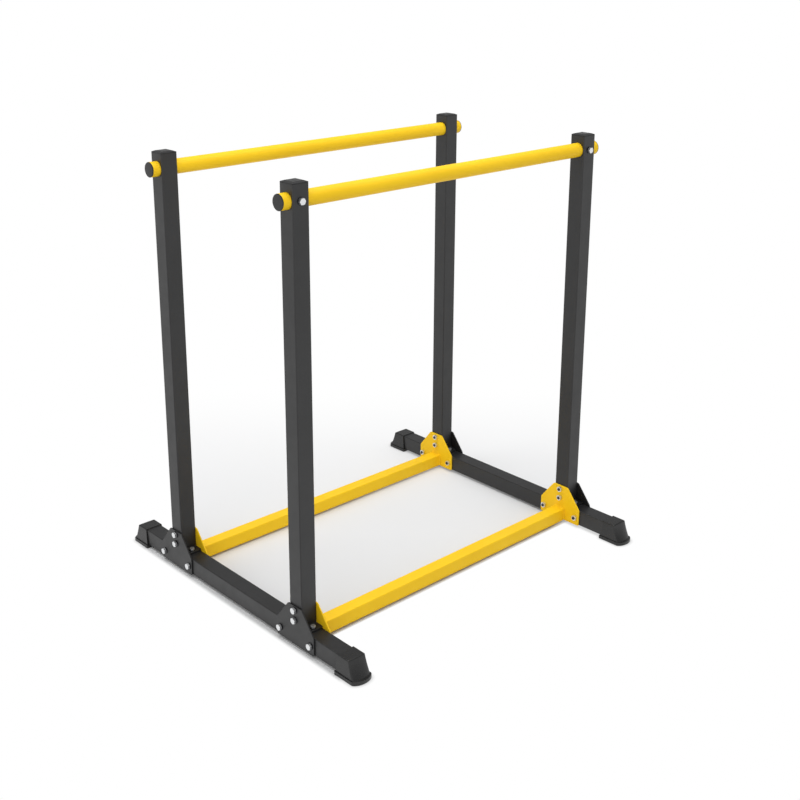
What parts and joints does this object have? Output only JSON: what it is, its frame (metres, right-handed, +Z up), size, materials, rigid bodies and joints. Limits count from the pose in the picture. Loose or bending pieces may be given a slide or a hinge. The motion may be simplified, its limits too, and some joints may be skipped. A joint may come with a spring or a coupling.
{
  "type": "dip station",
  "caption": "Free-standing dip station: two parallel round bars on square uprights, floor beams with moulded shoes, cross tubes and bolted corner plates.",
  "frame": {"origin": "on the floor, in the middle of the four shoes", "axes": "+X from the left bar to the right bar, +Y along the bars from front to rear, +Z up"},
  "size_m": [1.063, 1.1832, 1.2501],
  "materials": {
    "black_coat": "black powder coat, satin, fine texture",
    "yellow_coat": "yellow powder coat, satin",
    "zinc": "bright zinc plate",
    "shoe_rubber": "matte moulded rubber",
    "plug_plastic": "matte moulded plastic"
  },
  "bodies": {
    "root": {"floor_beam_front": "black_coat", "floor_beam_rear": "black_coat", "cross_tube_left": "yellow_coat", "cross_tube_right": "yellow_coat", "bar_left": "yellow_coat", "bar_right": "yellow_coat", "shoe_front_left": "shoe_rubber", "shoe_front_right": "shoe_rubber", "shoe_rear_left": "shoe_rubber", "shoe_rear_right": "shoe_rubber", "upright_front_left": "black_coat", "upright_front_right": "black_coat", "upright_rear_left": "black_coat", "upright_rear_right": "black_coat", "upright_plug_front_left": "plug_plastic", "upright_plug_front_right": "plug_plastic", "upright_plug_rear_left": "plug_plastic", "upright_plug_rear_right": "plug_plastic", "gusset_plate_front_left": "black_coat", "gusset_plate_front_right": "black_coat", "gusset_plate_rear_left": "black_coat", "gusset_plate_rear_right": "black_coat", "end_plate_front_left": "yellow_coat", "end_plate_front_right": "yellow_coat", "end_plate_rear_left": "yellow_coat", "end_plate_rear_right": "yellow_coat", "bar_cap_front_left": "plug_plastic", "bar_cap_front_right": "plug_plastic", "bar_cap_rear_left": "plug_plastic", "bar_cap_rear_right": "plug_plastic", "bar_bolt_front_left": "zinc", "bar_bolt_front_right": "zinc", "bar_bolt_rear_left": "zinc", "bar_bolt_rear_right": "zinc", "foot_bolt_inner_front_left": "zinc", "foot_bolt_inner_front_right": "zinc", "foot_bolt_inner_rear_left": "zinc", "foot_bolt_inner_rear_right": "zinc", "foot_bolt_outer_front_left": "zinc", "foot_bolt_outer_front_right": "zinc", "foot_bolt_outer_rear_left": "zinc", "foot_bolt_outer_rear_right": "zinc", "plate_bolt_first_front_left": "zinc", "plate_bolt_first_front_right": "zinc", "plate_bolt_first_rear_left": "zinc", "plate_bolt_first_rear_right": "zinc", "plate_bolt_second_front_left": "zinc", "plate_bolt_second_front_right": "zinc", "plate_bolt_second_rear_left": "zinc", "plate_bolt_second_rear_right": "zinc", "plate_bolt_inner_front_left": "zinc", "plate_bolt_inner_front_right": "zinc", "plate_bolt_inner_rear_left": "zinc", "plate_bolt_inner_rear_right": "zinc", "plate_bolt_outer_front_left": "zinc", "plate_bolt_outer_front_right": "zinc", "plate_bolt_outer_rear_left": "zinc", "plate_bolt_outer_rear_right": "zinc"}
  },
  "joints": []
}
